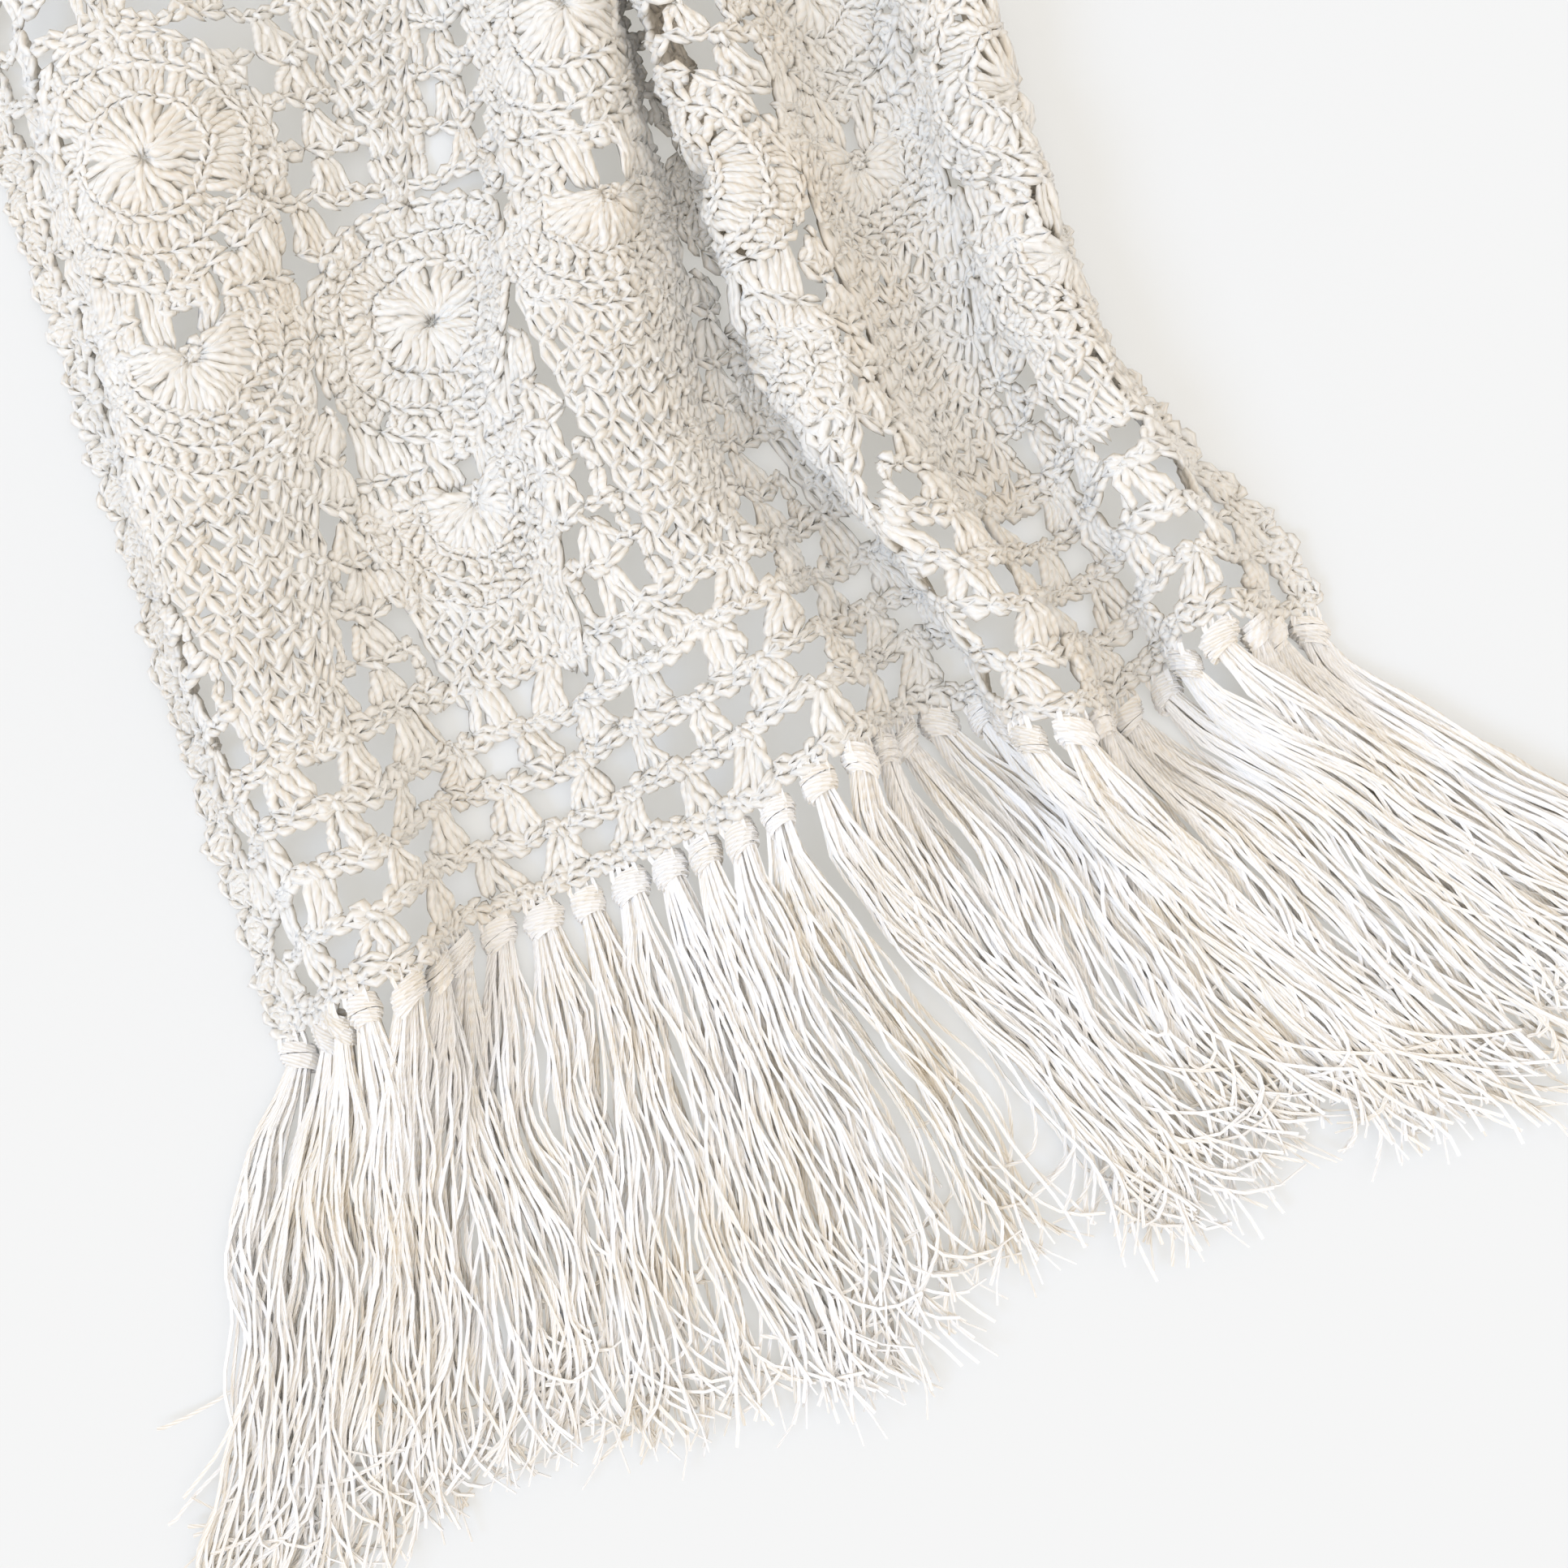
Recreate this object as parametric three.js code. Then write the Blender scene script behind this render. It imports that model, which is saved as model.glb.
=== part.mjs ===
// Crochet bed runner: one openwork cotton panel that lies in four soft lengthwise folds,
// with a tassel fringe along each end. Millimetres, +Z up. It lies along Y on the plane z = 0,
// its near end towards -Y, and its bounding box is centred on X and Y.
import * as THREE from 'three';

// Driving sizes.
const PANEL = { length: 1170, thickness: 3 };
const HEM = { lift: 1.5, liftReach: 45, skewReach: 420 }; // the knots hold each hem off the surface
const FRINGE = { tassels: 33, gap: 1.1, knotLength: 8, knotWidth: 10, knotThickness: 6 };
const TASSEL = {
  length: 168, neckWidth: 8, width: 10, endWidth: 11.2, thickness: 5,
  neck: 0.38, landing: 0.45, // shares of the way down to the surface, and of the length where it lands
  landingPitch: 12.4, endPitch: 14.8,
};
const GAPS = { rows: 21, length: 10, every: 6, step: 3 }; // the lace's largest gaps, in staggered rows
const FLANK_STEPS = 4; // facets across each flank of a fold
const TURN_STEPS = 16; // steps that add up a flank's curve, a multiple of FLANK_STEPS

// Cross-sections of the gathered panel, a row for each place along it, measured from the near hem.
// left is the x of the left edge, floor the flat band there. A fold's row holds the width of its rising
// flank, of its falling flank and of the flat band after it, and the height of its crest. A rise much
// narrower than its height leans over, and the fold rolls onto its neighbour.
const SECTIONS = [
  { at: 0, left: -170, floor: 5, folds: [
    { rise: 40, fall: 33, floor: 33, height: 34 },
    { rise: 81, fall: 43, floor: 4, height: 36 },
    { rise: 25, fall: 31, floor: 3, height: 37 },
    { rise: 23, fall: 34, floor: 8, height: 26 },
  ] },
  { at: 130, left: -172, floor: 3, folds: [
    { rise: 24, fall: 73, floor: 6, height: 34 },
    { rise: 56, fall: 50, floor: 3, height: 36 },
    { rise: 8, fall: 49, floor: 6, height: 40 },
    { rise: 28, fall: 14, floor: 3, height: 34 },
  ] },
  { at: 290, left: -174, floor: 4, folds: [
    { rise: 40, fall: 91, floor: 8, height: 36 },
    { rise: 48, fall: 26, floor: 3, height: 38 },
    { rise: 2, fall: 57, floor: 6, height: 38 },
    { rise: 26, fall: 11, floor: 3, height: 35 },
  ] },
  { at: 560, left: -168, floor: 4, folds: [
    { rise: 46, fall: 70, floor: 10, height: 36 },
    { rise: 52, fall: 34, floor: 3, height: 40 },
    { rise: 10, fall: 50, floor: 8, height: 38 },
    { rise: 24, fall: 20, floor: 4, height: 34 },
  ] },
  { at: 860, left: -178, floor: 4, folds: [
    { rise: 36, fall: 62, floor: 14, height: 36 },
    { rise: 60, fall: 40, floor: 5, height: 34 },
    { rise: 22, fall: 46, floor: 8, height: 36 },
    { rise: 30, fall: 24, floor: 4, height: 31 },
  ] },
  { at: 1170, left: -198, floor: 6, folds: [
    { rise: 42, fall: 48, floor: 22, height: 30 },
    { rise: 58, fall: 46, floor: 12, height: 30 },
    { rise: 36, fall: 44, floor: 12, height: 32 },
    { rise: 34, fall: 32, floor: 8, height: 26 },
  ] },
];

// How far each hem is drawn in along Y, by share of the flat width from the left edge.
const NEAR_SETBACK = [
  { across: 0, by: 0 }, { across: 0.11, by: 7 }, { across: 0.23, by: 18 }, { across: 0.4, by: 22 },
  { across: 0.5, by: 34 }, { across: 0.6, by: 40 }, { across: 0.71, by: 22 }, { across: 0.8, by: 24 },
  { across: 0.9, by: 38 }, { across: 1, by: 32 },
];
const FAR_SETBACK = [
  { across: 0, by: 4 }, { across: 0.25, by: 14 }, { across: 0.5, by: 6 }, { across: 0.75, by: 16 },
  { across: 1, by: 10 },
];

// Directions in which the tassels fan out, in degrees towards +X, by share of the flat width.
const NEAR_FAN = [
  { across: 0, by: -28 }, { across: 0.25, by: -12 }, { across: 0.5, by: -2 }, { across: 0.72, by: 18 },
  { across: 1, by: 34 },
];
const FAR_FAN = [{ across: 0, by: -12 }, { across: 0.5, by: 2 }, { across: 1, by: 14 }];

const COTTON = { color: 0xefe8d8, roughness: 0.92, metalness: 0 };

const mix = (from, to, share) => from + (to - from) * share;
const ease = (share) => {
  const clamped = Math.min(1, Math.max(0, share));
  return clamped * clamped * (3 - 2 * clamped);
};

// A table's value at a share of the width, eased from row to row.
function lookUp(table, across) {
  const next = Math.min(table.length - 1, Math.max(1, table.findIndex((row) => row.across >= across)));
  const [low, high] = [table[next - 1], table[next]];
  return mix(low.by, high.by, ease((across - low.across) / (high.across - low.across)));
}

// The cross-section's row at any place along the panel.
function sectionAt(along) {
  const place = Math.min(PANEL.length, Math.max(0, along));
  const next = Math.max(1, SECTIONS.findIndex((section) => section.at >= place));
  const [low, high] = [SECTIONS[next - 1], SECTIONS[next]];
  const share = ease((place - low.at) / (high.at - low.at));
  return {
    left: mix(low.left, high.left, share),
    floor: mix(low.floor, high.floor, share),
    folds: low.folds.map((fold, i) => ({
      rise: mix(fold.rise, high.folds[i].rise, share),
      fall: mix(fold.fall, high.folds[i].fall, share),
      floor: mix(fold.floor, high.folds[i].floor, share),
      height: mix(fold.height, high.folds[i].height, share),
    })),
  };
}

// A flank is an S-curve: its heading swings from level up to a steepest angle and back to level.
const turn = (step) => Math.sin(((step + 0.5) * Math.PI) / TURN_STEPS);
function averageOver(steepest, part) {
  let sum = 0;
  for (let step = 0; step < TURN_STEPS; step += 1) sum += part(steepest * turn(step));
  return sum / TURN_STEPS;
}

// The steepest angle that gives a flank of this width and height, found by halving.
function steepestAngle(width, height) {
  let [low, high] = [0.05, 2.9];
  for (let pass = 0; pass < 40; pass += 1) {
    const middle = (low + high) / 2;
    const tooShallow = averageOver(middle, Math.cos) * height > averageOver(middle, Math.sin) * width;
    if (tooShallow) low = middle;
    else high = middle;
  }
  return (low + high) / 2;
}

// Points across the panel at one place along it: x, height above the valley, heading and arc length.
function profile(along) {
  const section = sectionAt(along);
  const nodes = [{ x: section.left, rise: 0, heading: 0, arc: 0 }];
  const addFloor = (width) => {
    const last = nodes[nodes.length - 1];
    nodes.push({ x: last.x + width, rise: last.rise, heading: 0, arc: last.arc + width });
  };
  const addFlank = (width, height, sign) => {
    const steepest = steepestAngle(width, height);
    const step = height / averageOver(steepest, Math.sin) / TURN_STEPS;
    let { x, rise, arc } = nodes[nodes.length - 1];
    for (let i = 0; i < TURN_STEPS; i += 1) {
      x += step * Math.cos(steepest * turn(i));
      rise += sign * step * Math.sin(steepest * turn(i));
      arc += step;
      if ((i + 1) % (TURN_STEPS / FLANK_STEPS) === 0) {
        const heading = sign * steepest * Math.sin(((i + 1) * Math.PI) / TURN_STEPS);
        nodes.push({ x, rise, heading, arc });
      }
    }
  };
  addFloor(section.floor);
  for (const fold of section.folds) {
    addFlank(fold.rise, fold.height, 1);
    addFlank(fold.fall, fold.height, -1);
    addFloor(fold.floor);
  }
  const flatWidth = nodes[nodes.length - 1].arc;
  return nodes.map((node) => ({ ...node, across: node.arc / flatWidth }));
}

// Distance along Y of a point of the cloth, with both hems drawn in.
function placeAlong(across, along) {
  const near = lookUp(NEAR_SETBACK, across) * (1 - ease(along / HEM.skewReach));
  const far = lookUp(FAR_SETBACK, across) * (1 - ease((PANEL.length - along) / HEM.skewReach));
  return along - PANEL.length / 2 + near - far;
}

// Height of the cloth's middle surface in its valleys.
function valleyHeight(along) {
  const toHem = Math.min(along, PANEL.length - along);
  return PANEL.thickness / 2 + HEM.lift * (1 - ease(toHem / HEM.liftReach));
}

// A point at a signed distance off the cloth's middle surface.
function offSurface(node, along, distance) {
  return [
    node.x - Math.sin(node.heading) * distance,
    placeAlong(node.across, along),
    valleyHeight(along) + Math.max(0, node.rise) + Math.cos(node.heading) * distance,
  ];
}

function solid(name, points, triangles) {
  const geometry = new THREE.BufferGeometry();
  geometry.setAttribute('position', new THREE.Float32BufferAttribute(points.flat(), 3));
  geometry.setIndex(triangles.flat());
  geometry.computeVertexNormals();
  const mesh = new THREE.Mesh(geometry, new THREE.MeshStandardMaterial(COTTON));
  mesh.name = name;
  return mesh;
}

// Two triangles for a face whose corners run anticlockwise seen from outside.
const quad = (a, b, c, d) => [[a, b, c], [a, c, d]];

// Rows of facets along the panel: a long one and a short one for each row of gaps.
function rowPlaces() {
  const pitch = PANEL.length / GAPS.rows;
  const places = [0];
  for (let row = 0; row < GAPS.rows; row += 1) {
    const middle = (row + 0.5) * pitch;
    places.push(middle - GAPS.length / 2, middle + GAPS.length / 2);
  }
  places.push(PANEL.length);
  return places;
}

function panel() {
  const places = rowPlaces();
  const columns = profile(0).length - 1;
  const rows = places.length - 1;
  const points = [];
  for (const along of places) {
    for (const node of profile(along)) {
      points.push(offSurface(node, along, PANEL.thickness / 2));
      points.push(offSurface(node, along, -PANEL.thickness / 2));
    }
  }
  const top = (row, column) => 2 * (row * (columns + 1) + column);
  const under = (row, column) => top(row, column) + 1;

  const foldColumns = 2 * FLANK_STEPS + 1;
  const isFlat = (column) => column % foldColumns === 0;
  const inside = (row, column) => row >= 0 && row < rows && column >= 0 && column < columns;
  const isGap = (row, column) => {
    const gapRow = (row - 1) / 2;
    const staggered = (column + GAPS.step * gapRow) % GAPS.every === 2;
    return row % 2 === 1 && staggered && !isFlat(column) && column < columns - 1;
  };
  const isCloth = (row, column) => inside(row, column) && !isGap(row, column);

  const triangles = [];
  for (let row = 0; row < rows; row += 1) {
    for (let column = 0; column < columns; column += 1) {
      if (!isCloth(row, column)) continue;
      const corners = [[row, column], [row, column + 1], [row + 1, column + 1], [row + 1, column]];
      const [a, b, c, d] = corners.map((corner) => top(...corner));
      const [e, f, g, h] = corners.map((corner) => under(...corner));
      triangles.push(...quad(a, b, c, d), ...quad(h, g, f, e));
      if (!isCloth(row - 1, column)) triangles.push(...quad(e, f, b, a));
      if (!isCloth(row, column + 1)) triangles.push(...quad(f, g, c, b));
      if (!isCloth(row + 1, column)) triangles.push(...quad(g, h, d, c));
      if (!isCloth(row, column - 1)) triangles.push(...quad(h, e, a, d));
    }
  }
  return solid('crochet_panel', points, triangles);
}

// A point on the hem's own facets, at any share of the width.
function nodeAt(nodes, across) {
  const next = Math.min(nodes.length - 1, Math.max(1, nodes.findIndex((node) => node.across >= across)));
  const [low, high] = [nodes[next - 1], nodes[next]];
  const share = (across - low.across) / (high.across - low.across);
  return {
    x: mix(low.x, high.x, share),
    rise: mix(low.rise, high.rise, share),
    heading: mix(low.heading, high.heading, share),
    across,
  };
}

// Moves sorted places apart until each is at least one pitch from the next.
function spaced(places, pitch) {
  const moved = [...places];
  for (let pass = 0; pass < 400; pass += 1) {
    for (let i = 1; i < moved.length; i += 1) {
      const short = pitch - (moved[i] - moved[i - 1]);
      if (short > 0) {
        moved[i] += short / 2;
        moved[i - 1] -= short / 2;
      }
    }
  }
  return moved;
}

// One comb: a ribbon of knots along a hem, with a tooth for each tassel. Each tooth leaves its knot,
// comes down to the surface and runs on along it, and the teeth fan out side by side.
function fringe(name, atNearHem) {
  const outward = atNearHem ? -1 : 1; // along Y, away from the panel
  const hem = atNearHem ? 0 : PANEL.length;
  const setback = atNearHem ? NEAR_SETBACK : FAR_SETBACK;
  const fan = atNearHem ? NEAR_FAN : FAR_FAN;
  const hemNodes = profile(hem);
  const flatWidth = hemNodes[hemNodes.length - 1].arc;
  const hemEdge = hemNodes.map((node) => placeAlong(node.across, hem));

  // y of the hem's straight facets, so that the ribbon follows them.
  const hemPlace = (across) => {
    const next = Math.max(1, hemNodes.findIndex((node) => node.across >= across - 1e-9));
    const [low, high] = [hemNodes[next - 1], hemNodes[next]];
    return mix(hemEdge[next - 1], hemEdge[next], (across - low.across) / (high.across - low.across));
  };
  const ribbonPoint = (across, fromHem, distance) => {
    const node = nodeAt(hemNodes, across);
    return [
      node.x - Math.sin(node.heading) * distance,
      hemPlace(across) + outward * fromHem,
      valleyHeight(hem) + Math.max(0, node.rise) + Math.cos(node.heading) * distance,
    ];
  };

  // Ribbon: four corners at both sides of every knot.
  const points = [];
  const triangles = [];
  const face = outward < 0 ? quad : (a, b, c, d) => quad(d, c, b, a); // the far comb is mirrored
  const half = FRINGE.knotThickness / 2;
  const ribbonEnd = FRINGE.gap + FRINGE.knotLength;
  const centres = [];
  for (let i = 0; i < FRINGE.tassels; i += 1) {
    const centre = (i + 0.5) / FRINGE.tassels;
    const halfKnot = FRINGE.knotWidth / 2 / flatWidth;
    centres.push(centre);
    for (const across of [centre - halfKnot, centre + halfKnot]) {
      points.push(ribbonPoint(across, FRINGE.gap, half), ribbonPoint(across, ribbonEnd, half));
      points.push(ribbonPoint(across, ribbonEnd, -half), ribbonPoint(across, FRINGE.gap, -half));
    }
  }
  const corner = (station, which) => 4 * station + which;
  const stations = 2 * FRINGE.tassels;
  for (let station = 0; station < stations - 1; station += 1) {
    const [a, b, c, d] = [0, 1, 2, 3].map((which) => corner(station, which));
    const [e, f, g, h] = [0, 1, 2, 3].map((which) => corner(station + 1, which));
    triangles.push(...face(a, b, f, e), ...face(c, d, h, g), ...face(d, a, e, h));
    const isBetweenKnots = station % 2 === 1;
    if (isBetweenKnots) triangles.push(...face(b, c, g, f));
  }
  const last = stations - 1;
  triangles.push(...face(corner(0, 3), corner(0, 2), corner(0, 1), corner(0, 0)));
  triangles.push(...face(corner(last, 0), corner(last, 1), corner(last, 2), corner(last, 3)));

  // Where each tassel lands on the surface, and where it ends.
  const roots = centres.map((across) => nodeAt(hemNodes, across));
  const aims = centres.map((across) => THREE.MathUtils.degToRad(lookUp(fan, across)));
  const landingRun = TASSEL.length * TASSEL.landing;
  const endRun = TASSEL.length - landingRun;
  const landings = spaced(
    roots.map((root, i) => root.x + landingRun * Math.sin(aims[i])),
    TASSEL.landingPitch,
  );
  const ends = spaced(
    landings.map((x, i) => x + endRun * Math.sin(aims[i])),
    TASSEL.endPitch,
  );

  const tooth = (i) => {
    const root = roots[i];
    const rootPlace = hemPlace(centres[i]) + outward * ribbonEnd;
    const rootHeight = valleyHeight(hem) + Math.max(0, root.rise);
    const reach = Math.cos(aims[i]);
    const ringAt = (x, run, height, tilt, width, thickness) => {
      const place = rootPlace + outward * run * reach;
      const corners = [[-1, 1], [-1, -1], [1, -1], [1, 1]]; // across, off the surface
      return corners.map(([side, up]) => {
        const [wide, tall] = [(side * width) / 2, (up * thickness) / 2];
        return [
          x + wide * Math.cos(tilt) - tall * Math.sin(tilt),
          place,
          height + wide * Math.sin(tilt) + tall * Math.cos(tilt),
        ];
      });
    };
    const rings = [];
    for (const [share, width] of [[TASSEL.neck, TASSEL.neckWidth], [1, TASSEL.width]]) {
      const lowered = ease(share);
      rings.push(ringAt(
        mix(root.x, landings[i], mix(share, lowered, 0.5)),
        share * landingRun,
        mix(rootHeight, TASSEL.thickness / 2, lowered),
        root.heading * (1 - lowered),
        width,
        mix(FRINGE.knotThickness, TASSEL.thickness, share),
      ));
    }
    rings.push(ringAt(ends[i], TASSEL.length, TASSEL.thickness / 2, 0, TASSEL.endWidth, TASSEL.thickness));

    const [left, right] = [2 * i, 2 * i + 1];
    let previous = [corner(left, 1), corner(left, 2), corner(right, 2), corner(right, 1)];
    for (const ring of rings) {
      const first = points.length;
      points.push(...ring);
      const current = ring.map((_, k) => first + k);
      for (let k = 0; k < 4; k += 1) {
        const after = (k + 1) % 4;
        triangles.push(...face(previous[k], previous[after], current[after], current[k]));
      }
      previous = current;
    }
    triangles.push(...face(...previous));
  };
  centres.forEach((_, i) => tooth(i));
  return solid(name, points, triangles);
}

const runner = new THREE.Group();
runner.add(panel(), fringe('near_fringe', true), fringe('far_fringe', false));

// The box is centred on X and Y.
const centre = new THREE.Box3().setFromObject(runner).getCenter(new THREE.Vector3());
runner.position.set(-centre.x, -centre.y, 0);

export default runner;
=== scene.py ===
import math

import bpy
import numpy as np
from bpy.props import FloatProperty, FloatVectorProperty, IntProperty, PointerProperty
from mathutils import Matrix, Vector


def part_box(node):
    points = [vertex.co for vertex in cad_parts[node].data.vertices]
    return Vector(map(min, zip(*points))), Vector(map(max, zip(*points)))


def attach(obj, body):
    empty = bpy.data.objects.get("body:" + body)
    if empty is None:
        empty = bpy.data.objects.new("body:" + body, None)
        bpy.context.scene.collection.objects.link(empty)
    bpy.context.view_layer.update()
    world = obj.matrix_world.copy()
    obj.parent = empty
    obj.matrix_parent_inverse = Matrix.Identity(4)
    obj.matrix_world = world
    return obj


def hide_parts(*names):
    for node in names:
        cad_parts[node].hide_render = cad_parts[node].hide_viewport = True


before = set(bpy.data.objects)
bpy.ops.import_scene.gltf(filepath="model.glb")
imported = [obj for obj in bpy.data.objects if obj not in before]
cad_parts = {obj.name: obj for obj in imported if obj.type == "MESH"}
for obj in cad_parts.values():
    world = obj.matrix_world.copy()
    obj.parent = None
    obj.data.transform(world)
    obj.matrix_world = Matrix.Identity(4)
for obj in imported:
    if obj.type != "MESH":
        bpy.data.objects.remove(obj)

bl_info = {
    "name": "Crochet bed runner",
    "version": (1, 0, 0),
    "blender": (4, 5, 0),
    "location": "View3D > Sidebar > Runner",
    "description": "Crochet bed runner in pineapple lace, gathered in folds, with tassel fringes",
    "category": "Object",
}

MM = 0.001  # sizes and tables below are in millimetres, and meshes in metres

# ------------------------------
# The lay of the cloth: the same folds as the solid's, so that the crochet lies on them.

FLAT_WIDTH = 500
PANEL_LENGTH = 1170
HEM_LIFT = 1.5
HEM_LIFT_REACH = 45
SKEW_REACH = 420
HALF_THICKNESS = 1.5
TURN_STEPS = 16

# A row for each place along the panel, measured from the near hem: the place, its left edge, the
# flat band there, and each fold's rising width, falling width, flat band after it and crest height.
SECTIONS = [
    (0, -170, 5, [(40, 33, 33, 34), (81, 43, 4, 36), (25, 31, 3, 37), (23, 34, 8, 26)]),
    (130, -172, 3, [(24, 73, 6, 34), (56, 50, 3, 36), (8, 49, 6, 40), (28, 14, 3, 34)]),
    (290, -174, 4, [(40, 91, 8, 36), (48, 26, 3, 38), (2, 57, 6, 38), (26, 11, 3, 35)]),
    (560, -168, 4, [(46, 70, 10, 36), (52, 34, 3, 40), (10, 50, 8, 38), (24, 20, 4, 34)]),
    (860, -178, 4, [(36, 62, 14, 36), (60, 40, 5, 34), (22, 46, 8, 36), (30, 24, 4, 31)]),
    (1170, -198, 6, [(42, 48, 22, 30), (58, 46, 12, 30), (36, 44, 12, 32), (34, 32, 8, 26)]),
]

# How far each hem is drawn in, and how the tassels fan out in degrees, by share of the width.
NEAR_SETBACK = [(0, 0), (0.11, 7), (0.23, 18), (0.4, 22), (0.5, 34), (0.6, 40), (0.71, 22),
                (0.8, 24), (0.9, 38), (1, 32)]
FAR_SETBACK = [(0, 4), (0.25, 14), (0.5, 6), (0.75, 16), (1, 10)]
NEAR_COMBED = [(0, -28), (0.2, -14), (0.36, 2), (0.52, 18), (0.72, 28), (1, 34)]
FAR_COMBED = [(0, -12), (0.5, 2), (1, 14)]

# Fringe: the same knots and tassels as the solid combs'.
TASSELS = 33
KNOT_GAP = 1.1
KNOT_LENGTH = 8
TASSEL_LENGTH = 168
LANDING = 0.45  # share of a tassel's length at which it lies on the surface
LANDING_PITCH, END_PITCH = 11.0, 12.2  # least distances between tassels, there and at their ends
LANDING_RUN = TASSEL_LENGTH * LANDING
END_RUN = TASSEL_LENGTH - LANDING_RUN


def ease(share):
    """Smooth step from 0 to 1."""
    clamped = np.clip(share, 0, 1)
    return clamped * clamped * (3 - 2 * clamped)


def mix(low, high, share):
    return low + (high - low) * share


def look_up(table, across):
    """A table's value at shares of the width, eased from row to row."""
    places, values = np.array(table, dtype=float).T
    following = np.clip(np.searchsorted(places, across), 1, len(places) - 1)
    low, high = places[following - 1], places[following]
    share = ease((across - low) / (high - low))
    return mix(values[following - 1], values[following], share)


def section_at(along):
    """Left edge, first flat band and fold rows at one place along the panel."""
    place = min(PANEL_LENGTH, max(0, along))
    following = max(1, next(i for i, row in enumerate(SECTIONS) if row[0] >= place))
    (start, *low), (end, *high) = SECTIONS[following - 1:following + 1]
    share = ease((place - start) / (end - start))
    return [mix(np.array(a, dtype=float), np.array(b, dtype=float), share) for a, b in zip(low, high)]


TURN = np.sin((np.arange(TURN_STEPS) + 0.5) * math.pi / TURN_STEPS)


def steepest_angle(width, height):
    """Steepest heading of an S-shaped flank of this width and height, found by halving."""
    low, high = 0.05, 2.9
    for _ in range(40):
        middle = (low + high) / 2
        if np.cos(middle * TURN).mean() * height > np.sin(middle * TURN).mean() * width:
            low = middle
        else:
            high = middle
    return (low + high) / 2


def profile(along):
    """Cross-section at one place: columns of x, rise, heading and arc length."""
    left, floor, folds = section_at(along)
    nodes = [(left, 0.0, 0.0, 0.0)]

    def add_floor(width):
        x, rise, _, arc = nodes[-1]
        nodes.append((x + width, rise, 0.0, arc + width))

    def add_flank(width, height, sign):
        steepest = steepest_angle(width, height)
        step = height / np.sin(steepest * TURN).mean() / TURN_STEPS
        x, rise, _, arc = nodes[-1]
        for i in range(TURN_STEPS):
            x += step * math.cos(steepest * TURN[i])
            rise += sign * step * math.sin(steepest * TURN[i])
            arc += step
            heading = sign * steepest * math.sin((i + 1) * math.pi / TURN_STEPS)
            nodes.append((x, max(0.0, rise), heading, arc))

    add_floor(floor)
    for rise_width, fall_width, after, height in folds:
        add_flank(rise_width, height, 1)
        add_flank(fall_width, height, -1)
        add_floor(after)
    return np.array(nodes)


class Lay:
    """The folded middle surface: flat places (across, along) to points and normals."""

    STEP = 5  # between tabled sections

    def __init__(self):
        self.sections = np.arange(0, PANEL_LENGTH + self.STEP, self.STEP)
        shares = np.linspace(0, 1, FLAT_WIDTH + 1)
        tabled = []
        for along in self.sections:
            nodes = profile(along)
            arc = nodes[:, 3] / nodes[-1, 3]
            tabled.append([np.interp(shares, arc, nodes[:, k]) for k in range(3)])
        self.table = np.array(tabled)  # section, (x, rise, heading), place across
        self.shift = np.zeros(2)

    def read(self, across, along):
        """Interpolated x, rise and heading."""
        row = np.clip(along, 0, PANEL_LENGTH) / self.STEP
        column = np.clip(across, 0, FLAT_WIDTH)
        r0 = np.minimum(row.astype(int), len(self.sections) - 2)
        c0 = np.minimum(column.astype(int), FLAT_WIDTH - 1)
        fr, fc = row - r0, column - c0
        near, far = (self.table[r, :, c0] * (1 - fc)[:, None] + self.table[r, :, c0 + 1] * fc[:, None]
                     for r in (r0, r0 + 1))
        return (near * (1 - fr)[:, None] + far * fr[:, None]).T

    def points(self, across, along, lift=0.0):
        """Points in millimetres, lifted off the middle surface along its normal."""
        x, rise, heading = self.read(across, along)
        share = across / FLAT_WIDTH
        near = look_up(NEAR_SETBACK, share) * (1 - ease(along / SKEW_REACH))
        far = look_up(FAR_SETBACK, share) * (1 - ease((PANEL_LENGTH - along) / SKEW_REACH))
        to_hem = np.minimum(along, PANEL_LENGTH - along)
        valley = HALF_THICKNESS + HEM_LIFT * (1 - ease(to_hem / HEM_LIFT_REACH))
        return np.stack([
            x - np.sin(heading) * lift + self.shift[0],
            along - PANEL_LENGTH / 2 + near - far + self.shift[1],
            valley + rise + np.cos(heading) * lift,
        ], axis=1)

    def normals(self, across, along):
        _, _, heading = self.read(across, along)
        return np.stack([-np.sin(heading), np.zeros_like(heading), np.cos(heading)], axis=1)

    def seat(self, node):
        """Moves the lay onto the frame's own solid of it."""
        across, along = np.meshgrid(np.arange(FLAT_WIDTH + 1.0), self.sections[:-1].astype(float))
        every = np.concatenate([self.points(across.ravel(), along.ravel(), lift)
                                for lift in (HALF_THICKNESS, -HALF_THICKNESS)])
        low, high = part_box(node)
        self.shift = (np.array([low[0] + high[0], low[1] + high[1]]) / 2 / MM
                      - (every.min(0) + every.max(0))[:2] / 2)


def soft_noise(across, along, wavelength, seed):
    """Smooth random field of about -1 to 1 on the flat cloth, from a few crossing waves."""
    random = np.random.default_rng(seed)
    total = np.zeros_like(across, dtype=float)
    for _ in range(6):
        angle, phase = random.uniform(0, math.tau, 2)
        pace = math.tau / wavelength * random.uniform(0.7, 1.4)
        total += np.sin((across * math.cos(angle) + along * math.sin(angle)) * pace + phase)
    return total / 2.6


# ------------------------------
# Stitches: low-sided strands of yarn, worked once and set out by the chart below.

POST, CROSSED_POST, LINK, KNOT = range(4)
FINE_REACH = 400  # stitches nearer than this to the near hem are drawn with more faces


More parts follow.
